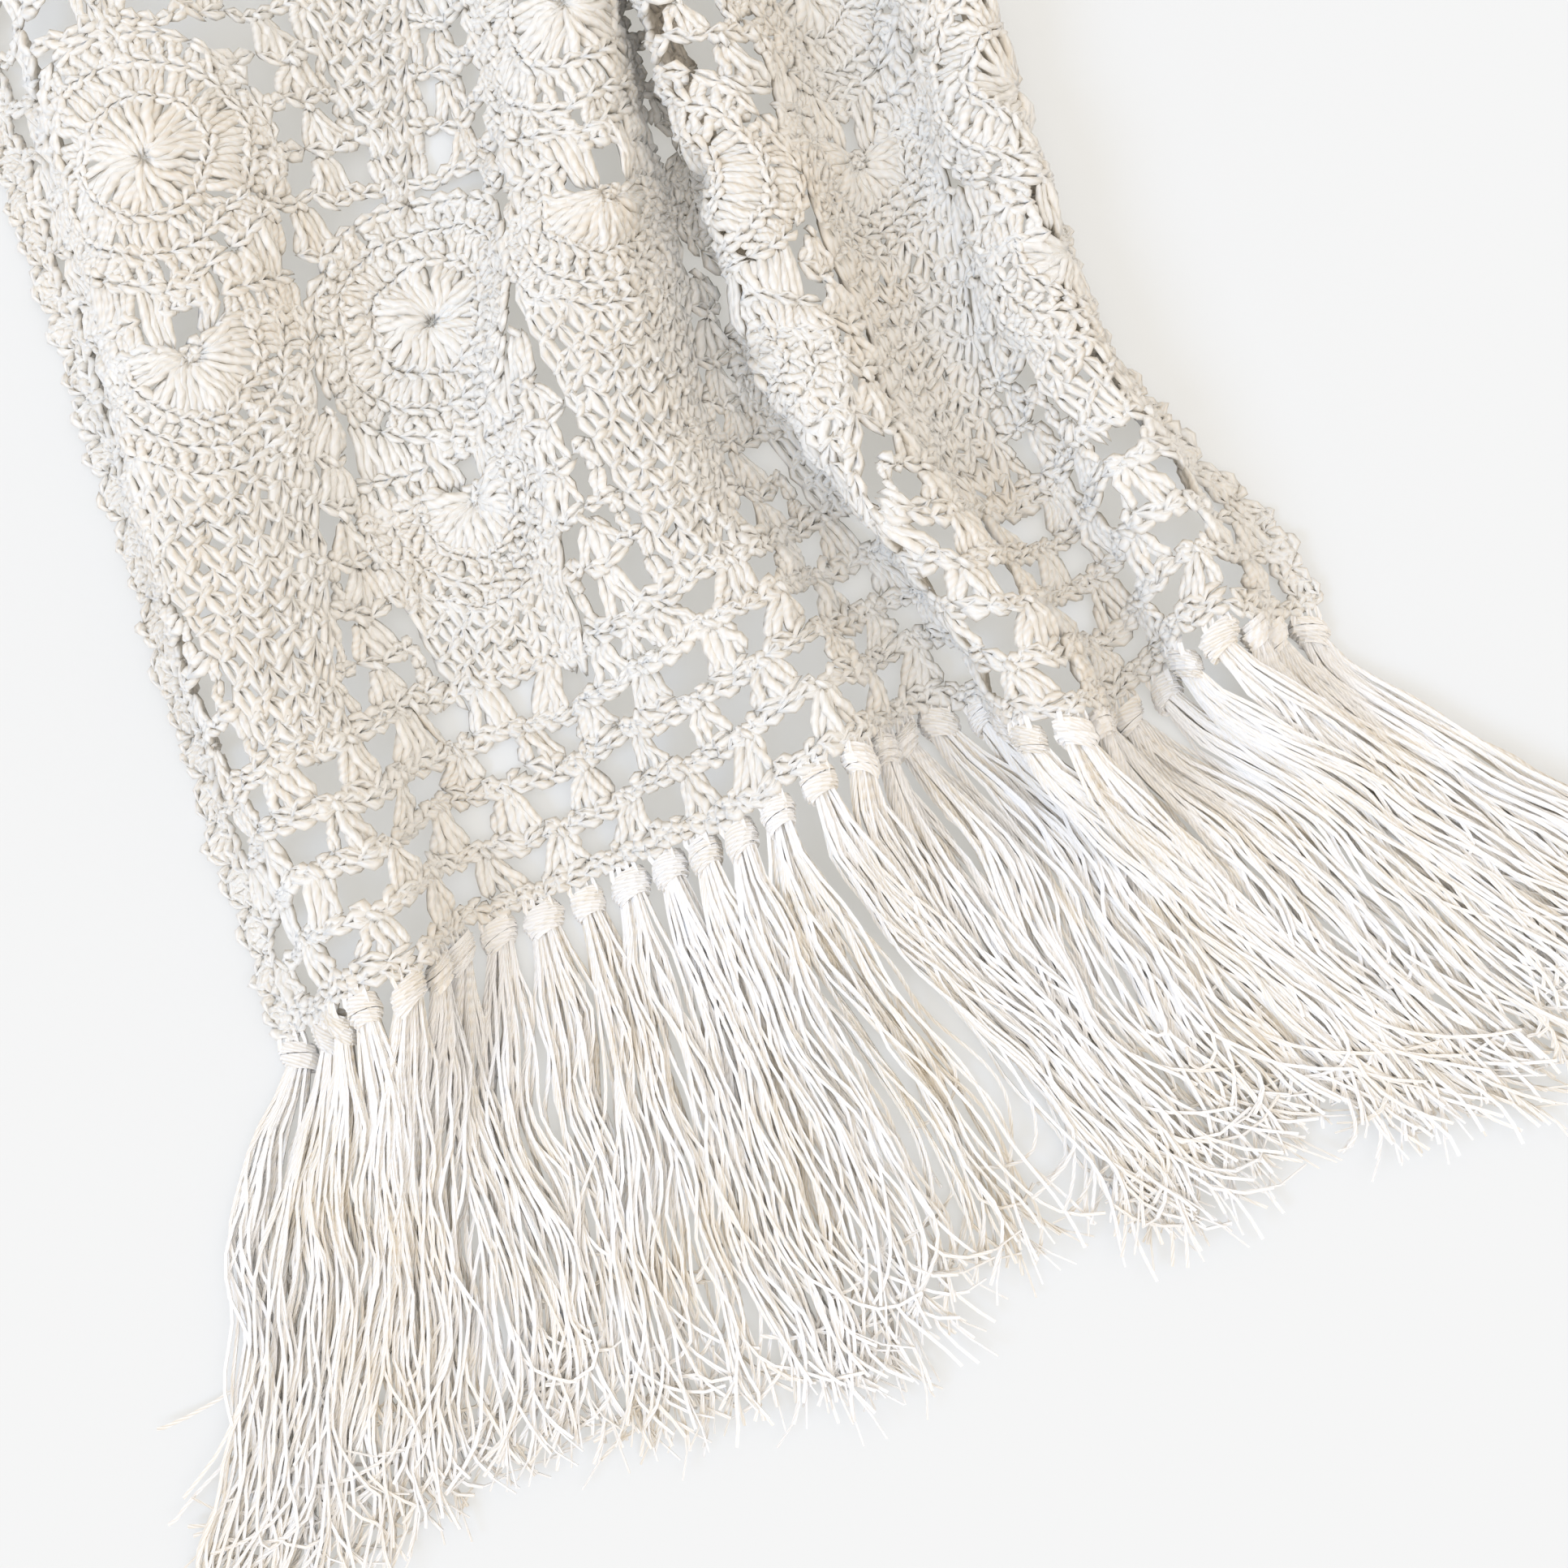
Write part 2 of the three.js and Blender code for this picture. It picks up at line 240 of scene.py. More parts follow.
def run_along(path):
    """Length along a path at each of its points."""
    return np.concatenate([[0], np.cumsum(np.linalg.norm(np.diff(path, axis=0), axis=1))])


def strand(points, radius, shares, sides=4):
    """A closed tube of yarn with pointed ends: vertices, faces and a UV for every corner.

    The shares are of the radius, at each point but the two ends. U goes round the yarn and V along
    it in millimetres, for the ply twist.
    """
    path = np.array(points, dtype=float)
    lengths = run_along(path)
    vertices = [path[0]]
    for i, share in enumerate(shares, start=1):
        tangent = path[i + 1] - path[i - 1]
        tangent /= np.linalg.norm(tangent)
        aside = np.cross(tangent, (0, 0, 1.0))
        if np.linalg.norm(aside) < 0.2:
            aside = np.cross(tangent, (1.0, 0, 0))
        aside /= np.linalg.norm(aside)
        upward = np.cross(aside, tangent)
        for side in range(sides):
            angle = math.tau * side / sides - math.pi / 2
            out = math.cos(angle) * aside + math.sin(angle) * upward
            vertices.append(path[i] + share * radius * out)
    vertices.append(path[-1])
    faces, corners = [], []
    for side in range(sides):
        after = (side + 1) % sides
        low, high = side / sides, (side + 1) / sides
        faces.append((0, 1 + after, 1 + side))
        corners += [(low, 0), (high, lengths[1]), (low, lengths[1])]
        for ring in range(len(shares) - 1):
            here, there = 1 + ring * sides, 1 + (ring + 1) * sides
            faces.append((here + side, here + after, there + after, there + side))
            v0, v1 = lengths[ring + 1], lengths[ring + 2]
            corners += [(low, v0), (high, v0), (high, v1), (low, v1)]
        end = 1 + (len(shares) - 1) * sides
        faces.append((end + side, end + after, end + sides))
        corners += [(low, lengths[-2]), (high, lengths[-2]), (low, lengths[-1])]
    return np.array(vertices), faces, corners


def mesh_of(name, vertices, faces, corners):
    """The mesh of one strand, in metres."""
    mesh = bpy.data.meshes.new(name)
    mesh.from_pydata((vertices * MM).tolist(), [], faces)
    layer = mesh.uv_layers.new(name="Yarn")
    layer.data.foreach_set("uv", np.array(corners, dtype=np.float32).ravel())
    mesh.validate()
    return mesh


# Nominal lengths that the stitches are drawn at; each is stretched along to fit its place.
POST_LENGTH = 12.0
LINK_LENGTH = 5.0


def post_strand(radius, side, crossed, fine):
    """One of the two strands of a tall stitch, which in one kind cross half way up."""
    length = POST_LENGTH
    top = (-side if crossed else side) * 0.85 * radius
    first, low = (side * 0.3 * radius, -1.0, -0.4), (side * 0.85 * radius, 0.1 * length, side * 0.3)
    high, last = (top, 0.91 * length, side * 0.2), (top * 0.4, length + 1.0, -0.1)
    if not fine:
        return strand([first, low, high, last], radius, (1.1, 1.1))
    if crossed:
        middles = [(side * 0.75 * radius, 0.37 * length, 0.4 + side * 0.8),
                   (-side * 0.7 * radius, 0.66 * length, 0.4 + side * 0.7)]
    else:
        middles = [(side * 0.98 * radius, 0.37 * length, 0.3 + side * 0.4),
                   (side * 0.85 * radius, 0.66 * length, 0.3 - side * 0.4)]
    return strand([first, low, *middles, high, last], radius, (1.02, 1.2, 1.18, 1.05))


def link_strand(radius, fine):
    """A chain stitch: one strand in a drop shape whose legs close over the foot of the next."""
    length = LINK_LENGTH
    leg = [(0.55 * radius, length + 1.3, -0.8 * radius)]
    if fine:
        leg += [(radius, 0.92 * length, 0.05 * radius), (1.22 * radius, 0.52 * length, 0.55 * radius)]
        shares = (0.92, 1.14, 0.92, 1.14, 0.92)
    else:
        leg += [(1.2 * radius, 0.62 * length, 0.4 * radius)]
        shares = (1.15, 0.95, 1.15)
    foot = (0.0, -0.02 * length, 0.1 * radius)
    return strand([*((-x, y, z) for x, y, z in leg), foot, *reversed(leg)], radius, shares,
                  sides=4 if fine else 3)


def knot_strand(radius, fine):
    """A short close stitch that ties a loop to the one above."""
    return strand(
        [(-1.3 * radius, -0.2, -0.4), (-0.9 * radius, 0.2 * LINK_LENGTH, 0.9 * radius),
         (0.9 * radius, 0.75 * LINK_LENGTH, 0.9 * radius), (1.1 * radius, LINK_LENGTH + 0.3, -0.4)],
        radius, (1.1, 1.1), sides=4 if fine else 3,
    )


# ------------------------------
# The chart, on the flat cloth: pineapples in six half-dropped columns, shells between them.

CENTRES = [68, 148, 228, 308, 388, 468]
REPEAT = 286.0  # from one flower to the next in a column
FLOWERS = [273, 201]  # along-place of the first flower, in every other column
FAN_BELOW = 66.0  # from a flower's middle to its fan's
MESH_FROM, MESH_TO = 103.0, 243.0  # the net, below the flower's middle
MESH_ROW = 8.2
SHELL_ROW = 17.2
SHELL_PITCH = 25.5
FLOWER_ROUND, FAN_ROUND = 41.0, 36.0  # radii
EDGING = 9.0
NARROWED = 0.56  # the last column's outer half, drawn in to the edge
HEM_ROWS = 4  # rows of shells along the near hem
LOOP, CHAIN = 7.6, 5.3  # widths of a loop of net and of a chain link
LAST_ROW = PANEL_LENGTH - 14  # where the worked rows stop, short of the far hem


def flat(across, along):
    """Places on the flat cloth, one in a row."""
    return np.stack(np.broadcast_arrays(across, along), axis=1)


class Chart:
    """Stitches on the flat cloth, each from a base to a tip."""

    def __init__(self):
        self.parts = []

    def add(self, kind, base, tip, base_lift=0.0, tip_lift=0.0, girth=1.0):
        base, tip = (np.atleast_2d(np.asarray(place, dtype=float)) for place in (base, tip))
        row = np.empty((max(len(base), len(tip)), 8))
        row[:, 0], row[:, 1:3], row[:, 3:5] = kind, base, tip
        row[:, 5:] = base_lift, tip_lift, girth
        self.parts.append(row)

    def chain(self, path, lift=0.6):
        """Chain links along a polyline of flat places."""
        path = np.asarray(path, dtype=float)
        along = run_along(path)
        stops = np.linspace(0, along[-1], max(1, round(along[-1] / CHAIN)) + 1)
        places = flat(*(np.interp(stops, along, path[:, k]) for k in range(2)))
        self.add(LINK, places[:-1], places[1:], lift, lift, 1.12)

    def finished(self):
        """All stitches that lie inside the panel."""
        rows = np.concatenate(self.parts)
        low = np.tile([0.5, 1.0], 2)
        high = np.tile([FLAT_WIDTH, PANEL_LENGTH], 2) - low
        return rows[((rows[:, 1:5] > low) & (rows[:, 1:5] < high)).all(axis=1)]


def polar(centre, radius, angles):
    return flat(centre[0] + radius * np.cos(angles), centre[1] + radius * np.sin(angles))


def turned(count, start=0.0, sweep=math.tau, closed=True):
    """Angles spread over a sweep."""
    return start + np.arange(count) * sweep / (count if closed else count - 1)


def braid(chart, centre, radius, angles, lift=1.0):
    """Top loops of a round of stitches, one for each step between angles."""
    chart.add(LINK, polar(centre, radius, angles[:-1]), polar(centre, radius, angles[1:]), lift, lift)


def spokes(chart, kind, centre, inner, outer, angles, *lifts):
    """Stitches that stand out from a middle, from one radius to another."""
    chart.add(kind, polar(centre, inner, angles), polar(centre, outer, angles), *lifts)


def flower(chart, centre):
    """A full round: posts from the middle, then two closer rounds, the last in scallops."""
    spokes(chart, POST, centre, 2.0, 18.6, turned(19, start=0.1), 1.2, 1.0, 1.05)
    braid(chart, centre, 19.6, turned(26, start=0.1, closed=False))
    posts = turned(36, start=0.2)
    chart.add(CROSSED_POST, polar(centre, 20.2, posts), polar(centre, 31.4, posts + 0.04), 0.2, 0.7)
    braid(chart, centre, 32.2, turned(40, start=0.1, closed=False))
    for scallop in turned(12, start=0.2):
        spread = scallop + np.array([-0.2, -0.068, 0.068, 0.2])
        base = polar(centre, 33.0, scallop + np.array([-0.15, -0.05, 0.05, 0.15]))
        chart.add(POST, base, polar(centre, FLOWER_ROUND - 1, spread), 0.0, 0.6)
        braid(chart, centre, FLOWER_ROUND, scallop + np.array([-0.23, -0.08, 0.08, 0.23]))


def fan(chart, centre):
    """The base of a pineapple: a wide fan towards the near hem, with two more rounds."""
    reach = math.radians(108)  # to each side of straight down

    def swept(count, share=1.0):
        return turned(count, -math.pi / 2 - reach * share, 2 * reach * share, closed=False)

    spokes(chart, POST, centre, 3.2, 18.8, swept(16), 1.4, 0.9, 1.05)
    braid(chart, centre, 3.4, turned(5, start=0.4), 0.6)
    braid(chart, centre, 19.8, swept(17))
    spokes(chart, CROSSED_POST, centre, 20.6, 27.4, swept(18, 0.97), 0.2, 0.4)
    braid(chart, centre, 28.0, swept(20, 0.97), 0.7)
    spokes(chart, POST, centre, 28.8, FAN_ROUND - 0.6, swept(23, 0.93), 0.0, 0.4)
    braid(chart, centre, FAN_ROUND, swept(24, 0.93), 0.7)


def neck(chart, centre):
    """Long posts from a flower to the fan below it, round an open eye, and shoulders beside them."""
    across, along = centre
    for side in (-1, 1):
        def places(beside, below):
            return flat(across + side * np.array(beside), along - np.array(below))

        chart.add(POST, places([6.5, 10.5], [41.5, 41]), places([4.8, 8.6], [60.5, 59]), 0.4, 0.9)
        rim = np.array([14.5, 18.5, 22.5, 26.5, 30.5])
        below = np.sqrt((FLOWER_ROUND + 1) ** 2 - rim ** 2)
        chart.add(POST, places(rim, below), places(rim + 0.8, 48.5), 0.2, 0.5)
        chart.chain(places([13, 36], [49.5, 48.5]))
        lower = np.array([13.5, 18.0, 22.5, 27.0, 31.5, 35.5])
        chart.add(CROSSED_POST, places(lower, 50.5), places(lower + 0.6, 59.5), 0.2, 0.5)
        chart.chain(places([10, 24, 38], [61, 60, 61.5]))
    for half, below in ((8, 42.5), (7, 47.5)):
        chart.chain([(across - half, along - below), (across + half, along - below)])
    chart.add(POST, (across, along - 42), (across, along - 50), 0.3, 0.3)


def loops(chart, centre_across, along, half_width, bow):
    """One row of small loops, each hung from the row above and tied in its middle."""
    count = max(1, round(2 * half_width / LOOP))
    stops = np.linspace(-half_width, half_width, count + 1)

    def hung(beside):
        return flat(centre_across + beside, along - bow * (1 - (beside / max(half_width, 1)) ** 2))

    upper = hung(stops)
    low = hung((stops[:-1] + stops[1:]) / 2) - (0, MESH_ROW * 0.92)
    chart.add(LINK, upper[:-1], low, 0.0, 0.9)
    chart.add(LINK, upper[1:], low, 0.5, 0.3)
    chart.add(KNOT, low + (0, 1.6), low - (0, 2.2), 0.5, 0.5)


def pineapple_half_width(below):
    """Half the width that a column's own stitches take, by distance below its flower."""
    below = (below + 43) % REPEAT - 43
    widths = [math.sqrt(max(FLOWER_ROUND ** 2 - below ** 2, 0))]
    if 28 < below < 70:
        widths.append(36.0)  # shoulders beside the neck
    if 58 < below < FAN_BELOW + FAN_ROUND:
        widths.append(math.sqrt(FAN_ROUND ** 2 - max(below - FAN_BELOW, 0) ** 2))
    if 92 < below < MESH_TO:
        widths.append(2 + 33 * (MESH_TO - below) / (MESH_TO - MESH_FROM))
    return max(widths)


def flower_place(column):
    return FLOWERS[column % 2]


def pineapple(chart, centre_across, flower_along):
    """Flower, neck, fan and the narrowing net below it."""
    flower(chart, (centre_across, flower_along))
    neck(chart, (centre_across, flower_along))
    fan(chart, (centre_across, flower_along - FAN_BELOW))
    rows = int((MESH_TO - MESH_FROM) / MESH_ROW)
    for row in range(rows):
        below = MESH_FROM + row * MESH_ROW
        share = row / (rows - 1)
        half_width = mix(34.0, 2.5, share)
        bow = 22.0 * (1 - share) ** 1.5
        loops(chart, centre_across, flower_along - below + bow, half_width, bow)


def shell(chart, centre_across, along, width):
    """Posts from one place, spread open to the near hem."""
    half = width / 2
    lean = 0.16 * math.sin(along * 1.7 + centre_across * 0.9)
    offsets = np.array([-1.0, 0.05, 1.0]) * half + 0.9 * math.sin(along * 3.1 + centre_across * 1.3)
    drops = np.array([11.4, 13.8, 11.4]) * (1 + 0.12 * math.sin(along * 2.3 + centre_across))
    if width < 9:
        offsets, drops = offsets[::2], drops[::2]
    tip = flat(centre_across + offsets + lean * drops, along - drops)
    chart.add(POST, flat(centre_across + offsets * 0.2, along + 0.6), tip, 0.8, 0.6)
    chart.add(LINK, tip[:-1] + (0, -0.9), tip[1:] + (0, -0.9), 1.0, 1.0)
    chart.add(KNOT, (centre_across - 1.8, along + 1.6), (centre_across + 1.8, along + 1.6), 1.0, 1.0)


def arch(chart, start, end, sag):
    """A chain arch between two flat places, hanging towards the near hem."""
    share = np.linspace(0, 1, 7)[:, None]
    path = np.array(start) * (1 - share) + np.array(end) * share
    path[:, 1] -= 4 * sag * (share * (1 - share))[:, 0]
    chart.chain(path)


def ladders(chart):
    """Shell columns between the pineapples, with chain arches to both sides."""
    rows = int(PANEL_LENGTH / SHELL_ROW) - HEM_ROWS
    for boundary in range(len(CENTRES) + 1):
        for row in range(rows):
            along = LAST_ROW - row * SHELL_ROW
            place = along - 12
            left, right = EDGING, FLAT_WIDTH - EDGING
            if boundary > 0:
                half = pineapple_half_width(flower_place(boundary - 1) - place)
                left = CENTRES[boundary - 1] + half * (NARROWED if boundary == len(CENTRES) else 1)
            if boundary < len(CENTRES):
                right = CENTRES[boundary] - pineapple_half_width(flower_place(boundary) - place)
            gap = right - left
            if gap < 7:
                continue
            middle = (left + right) / 2
            width = min(13.0, gap)
            shell(chart, middle, along, width)
            for side, edge in ((-1, left), (1, right)):
                start = middle + side * width / 2
                if abs(edge - start) > 2.5:
                    arch(chart, (start, along - 11.5), (edge, along - 10.5), 0.16 * abs(edge - start))
                    for step in range(2):
                        chart.add(CROSSED_POST, (edge, along - 10.5 - step * SHELL_ROW / 2),
                                  (edge, along - 10.5 - (step + 1) * SHELL_ROW / 2))


def hem_shells(chart):
    """Brick rows of shells and chain arches that the knots hang from."""
    for row in range(HEM_ROWS):
        along = (HEM_ROWS - row) * SHELL_ROW + 3
        middles = np.arange(EDGING + (6 if row % 2 else 19.5), FLAT_WIDTH - EDGING, SHELL_PITCH)
        for middle in middles:
            shell(chart, middle, along, 12.0)
        for low, high in zip(middles[:-1], middles[1:]):
            arch(chart, (low + 7, along - 12), (high - 7, along - 12), 3.6)
            arch(chart, (low + 1, along + 2.5), (high - 1, along + 2.5), 1.5)


def edgings(chart):
    """A close row along both long edges and a firm row along each hem."""
    for side, inner in ((-1, EDGING), (1, FLAT_WIDTH - EDGING)):
        for middle in np.arange(9, PANEL_LENGTH - 8, 14.6):
            swing = np.radians([-58, -20, 20, 58])
            tip = flat(inner + side * 8.0 * np.cos(swing), middle + 7.6 * np.sin(swing))
            chart.add(POST, flat(inner, middle + swing * 1.4), tip, 0.2, 0.3)
            chart.add(LINK, tip[:-1], tip[1:], 0.7, 0.7)
        chart.chain([(inner, 3), (inner, PANEL_LENGTH - 3)], 1.0)
    scallops = np.arange(3, FLAT_WIDTH - 2, 1.5)
    for along in (3.6, PANEL_LENGTH - 3.6):
        chart.chain(flat(scallops, along + 1.4 * np.cos(scallops * math.tau / 15)), 0.9)
    low, high = PANEL_LENGTH - 13.5, PANEL_LENGTH - 5.0
    chart.chain([(3, low), (FLAT_WIDTH - 3, low)], 0.7)
    posts = np.arange(5, FLAT_WIDTH - 4, 5.0)
    chart.add(POST, flat(posts, low), flat(posts, high))


def full_chart():
    """Every stitch of the panel: pineapples, then what lies between and round them."""
    columns, between, border = Chart(), Chart(), Chart()
    for column, centre in enumerate(CENTRES):
        for repeat in range(-1, 6):
            pineapple(columns, centre, flower_place(column) + repeat * REPEAT)
    ladders(between)
    hem_shells(border)
    edgings(border)
    columns, between, border = (part.finished() for part in (columns, between, border))
    columns, between = (part[(place > (HEM_ROWS + 0.2) * SHELL_ROW) & (place < LAST_ROW)]
                        for part, place in ((columns, (columns[:, 2] + columns[:, 4]) / 2),
                                            (between, between[:, 2])))
    last, ends = CENTRES[-1], columns[:, (1, 3)]
    columns[:, (1, 3)] = np.where(ends > last, last + NARROWED * (ends - last), ends)
    return np.concatenate([columns, between, border])


# ------------------------------
# Nodes


def add_node(tree, kind, inputs=None, **settings):
    """Adds a node, sets its properties, and fills or links its inputs by name or number.

    A node that is given as an input stands for its first output.
    """
    node = tree.nodes.new(kind)
    for key, value in settings.items():
        setattr(node, key, value)
    for key, value in (inputs or {}).items():
        if isinstance(value, bpy.types.Node):
            value = value.outputs[0]
        if isinstance(value, bpy.types.NodeSocket):
            tree.links.new(value, node.inputs[key])
        else:
            node.inputs[key].default_value = value
    return node


def maths(tree, operation, *values):
    """A math node with its inputs in order."""
    return add_node(tree, "ShaderNodeMath", dict(enumerate(values)), operation=operation)


def named(tree, label, kind):
    """A value that the geometry carries under a name."""
    return add_node(tree, "GeometryNodeInputNamedAttribute", {"Name": label},
                    data_type=kind).outputs["Attribute"]


def dyed(tree, given, geometry):
    """The end of a tree: its geometry in the given material."""
    coloured = add_node(tree, "GeometryNodeSetMaterial",
                        {"Geometry": geometry, "Material": given.outputs["Material"]})
    add_node(tree, "NodeGroupOutput", {"Geometry": coloured})
    return tree


BENDS = ((12.0, 4.2), (4.5, 1.3))  # wavelengths at which the worked stitches wander, and how far


def new_tree(name, sockets):
    """A tree from geometry to geometry, with further inputs by name."""
    tree = bpy.data.node_groups.new(name, "GeometryNodeTree")
    for label, kind in [("Geometry", "NodeSocketGeometry"), *sockets]:
        tree.interface.new_socket(label, in_out="INPUT", socket_type=kind)
    tree.interface.new_socket("Geometry", in_out="OUTPUT", socket_type="NodeSocketGeometry")
    return tree, tree.nodes.new("NodeGroupInput")


def stitch_tree():
    """Sets a stitch on each place of a chart, turned along it and facing off the cloth."""
    tree, given = new_tree("Work stitches", [("Stitches", "NodeSocketCollection"),
                                             ("Material", "NodeSocketMaterial")])
    stitches = add_node(tree, "GeometryNodeCollectionInfo",
                        {"Collection": given.outputs["Stitches"], "Separate Children": True,
                         "Reset Children": True})
    turn = add_node(tree, "FunctionNodeAxesToRotation",
                    {"Primary Axis": named(tree, "along", "FLOAT_VECTOR"),
                     "Secondary Axis": named(tree, "facing", "FLOAT_VECTOR")},
                    primary_axis="Y", secondary_axis="Z")
    placed = add_node(tree, "GeometryNodeInstanceOnPoints",
                      {"Points": given.outputs["Geometry"], "Instance": stitches, "Pick Instance": True,
                       "Instance Index": named(tree, "stitch", "INT"), "Rotation": turn,
                       "Scale": named(tree, "size", "FLOAT_VECTOR")})
    bent = add_node(tree, "GeometryNodeRealizeInstances", {"Geometry": placed})
    offset = (0.0, 0.0, 0.0)
    for wavelength, amount in BENDS:
        field = add_node(tree, "ShaderNodeTexNoise",
                         {"Scale": 1 / (wavelength * MM), "Detail": 0.0,
                          "Vector": add_node(tree, "GeometryNodeInputPosition")})
        centred = add_node(tree, "ShaderNodeVectorMath",
                           {0: field.outputs["Color"], 1: (0.5, 0.5, 0.5)}, operation="SUBTRACT")
        scaled = add_node(tree, "ShaderNodeVectorMath", {0: centred, "Scale": amount * MM},
                          operation="SCALE")
        offset = add_node(tree, "ShaderNodeVectorMath", {0: offset, 1: scaled}, operation="ADD")
    bent = add_node(tree, "GeometryNodeSetPosition", {"Geometry": bent, "Offset": offset})
    return dyed(tree, given, add_node(tree, "GeometryNodeSetShadeSmooth", {"Geometry": bent}))


def strand_tree():
    """Sweeps a round section along every chain of edges, as thick as its points say."""
    tree, given = new_tree("Spin strands", [("Sides", "NodeSocketInt"), ("Material", "NodeSocketMaterial")])
    section = add_node(tree, "GeometryNodeCurvePrimitiveCircle",
                       {"Resolution": given.outputs["Sides"], "Radius": 1.0})
    lines = add_node(tree, "GeometryNodeMeshToCurve", {"Mesh": given.outputs["Geometry"]})
    run = add_node(tree, "GeometryNodeSplineParameter")
    marked, turned_section = (
        add_node(tree, "GeometryNodeStoreNamedAttribute",
                 {"Geometry": curve, "Name": label, "Value": run.outputs[value]})
        for curve, label, value in ((lines, "run", "Length"), (section, "turn", "Factor")))
    swept = add_node(tree, "GeometryNodeCurveToMesh",
                     {"Curve": marked, "Profile Curve": turned_section,
                      "Scale": named(tree, "thickness", "FLOAT"), "Fill Caps": True})
    return dyed(tree, given, add_node(tree, "GeometryNodeSetShadeSmooth",
                                      {"Geometry": swept, "Shade Smooth": False}))


def in_scene(name, data):
    """A new object in the scene."""
    made = bpy.data.objects.new(name, data)
    bpy.context.scene.collection.objects.link(made)
    return made


def grown(name, source, tree, inputs):
    """Runs a tree on a source object and keeps the result as a plain mesh piece."""
    modifier = source.modifiers.new("Work", "NODES")
    modifier.node_group = tree
    for socket in tree.interface.items_tree:
        if socket.in_out == "INPUT" and socket.name in inputs:
            modifier[socket.identifier] = inputs[socket.name]
    bpy.context.scene.collection.objects.link(source)
    bpy.context.view_layer.update()
    graph = bpy.context.evaluated_depsgraph_get()
    mesh = bpy.data.meshes.new_from_object(source.evaluated_get(graph), depsgraph=graph)
    mesh.name = name
    spots = np.empty(3 * len(mesh.vertices), dtype=np.float32)
    mesh.vertices.foreach_get("co", spots)
    spots[2::3] = np.maximum(spots[2::3], 0.0001)  # pressed flat where it lies on the surface
    mesh.vertices.foreach_set("co", spots)
    mesh.update()
    bpy.data.objects.remove(source)
    return in_scene(name, mesh)


# ------------------------------
# Materials


def linear(code):
    """An sRGB hex colour as linear RGBA."""
    channels = [int(code[i:i + 2], 16) / 255 for i in (1, 3, 5)]
    return [c / 12.92 if c <= 0.04045 else ((c + 0.055) / 1.055) ** 2.4 for c in channels] + [1.0]


def emptied(owner):
    """The node tree of a material or world, with nothing in it."""
    owner.use_nodes = True
    owner.node_tree.nodes.clear()
    return owner.node_tree


def background_rays(tree):
    """1 on the rays that show what is behind the object, and 0 on the rays that light it."""
    seen = add_node(tree, "ShaderNodeLightPath").outputs
    either = maths(tree, "MAXIMUM", seen["Is Camera Ray"], seen["Is Glossy Ray"])
    return maths(tree, "MAXIMUM", either, seen["Is Transmission Ray"])


def carried(tree, label):
    return add_node(tree, "ShaderNodeAttribute", attribute_name=label).outputs["Fac"]


def noise(tree, scale, detail):
    place = add_node(tree, "ShaderNodeTexCoord").outputs["Object"]
    return add_node(tree, "ShaderNodeTexNoise",
                    {"Vector": place, "Scale": scale, "Detail": detail}).outputs["Fac"]


def blend(tree, share, low, high):
    return add_node(tree, "ShaderNodeMix", {0: share, 6: low, 7: high}, data_type="RGBA").outputs[2]


def shown(tree, output, share, low, high):
    """The end of a shader tree: two shaders, mixed."""
    mixed = add_node(tree, "ShaderNodeMixShader", {0: share, 1: low, 2: high})
    add_node(tree, output, {"Surface": mixed})


def ply_colour(tree, wave, depth, tone_and_shade_share, blotches, low, high, light, painted_shade_and_tone):
    """Light on the plies and painted shade in the grooves between them, in uneven tones and any carried
    painted shade.
    """
    tone_with_shade = maths(tree, "MULTIPLY_ADD", carried(tree, "tone_and_painted_shade"), tone_and_shade_share, noise(tree, blotches, 2.0))
    # painted shade: the grooves between the plies take the darker colour
    grooves = maths(tree, "MULTIPLY_ADD", wave, -depth, tone_with_shade)
    spread = add_node(tree, "ShaderNodeMapRange", {"Value": grooves, "From Min": low, "From Max": high})
    return blend(tree, spread, light, painted_shade_and_tone)


def dull_cotton(tree, colour, roughness, share_through, relief, strength, depth):
    """Fibrous cotton: no gloss, some light through it, and its twisted plies in relief."""
    bump = add_node(tree, "ShaderNodeBump", {"Strength": strength, "Distance": depth, "Height": relief})
    shader = add_node(tree, "ShaderNodeBsdfPrincipled",
                      {"Base Color": colour, "Roughness": roughness, "Specular IOR Level": 0.15,
                       "Normal": bump})
    through = add_node(tree, "ShaderNodeBsdfTranslucent", {"Color": colour})
    shown(tree, "ShaderNodeOutputMaterial", share_through, shader, through)


def cotton_yarn(name, light, painted_shade_and_tone, underside_shade, plies, twist):
    """Undyed plied cotton: the twist is in turns of phase for a millimetre of yarn.

    The eye sees a dull, near-white crown along each yarn, with painted shade: creamier sides and
    undersides, and darker grooves between the plies.
    """
    material = bpy.data.materials.new(name)
    tree = emptied(material)
    yarn = add_node(tree, "ShaderNodeUVMap", uv_map="Yarn")
    parts = add_node(tree, "ShaderNodeSeparateXYZ", {0: yarn})
    around = maths(tree, "MULTIPLY", parts, math.tau * plies)
    wave = maths(tree, "SINE", maths(tree, "MULTIPLY_ADD", parts.outputs[1], twist, around))
    raised = ply_colour(tree, wave, 0.26, 0.3, 18.0, 0.5, 1.3, light, painted_shade_and_tone)
    # painted shade: the yarn's sides and underside, where shade falls between the stitches, take the
    # creamier underside colour
    height = maths(tree, "COSINE", maths(tree, "MULTIPLY", parts, math.tau))
    below = add_node(tree, "ShaderNodeMapRange",
                     {"Value": height, "From Min": -0.75, "From Max": 0.7, "To Max": 0.85})
    fluffy = maths(tree, "MULTIPLY_ADD", noise(tree, 1900.0, 1.0), 0.6, wave)
    dull_cotton(tree, blend(tree, below, raised, underside_shade), 0.92, 0.22, fluffy, 0.34, 0.0002)
    return material


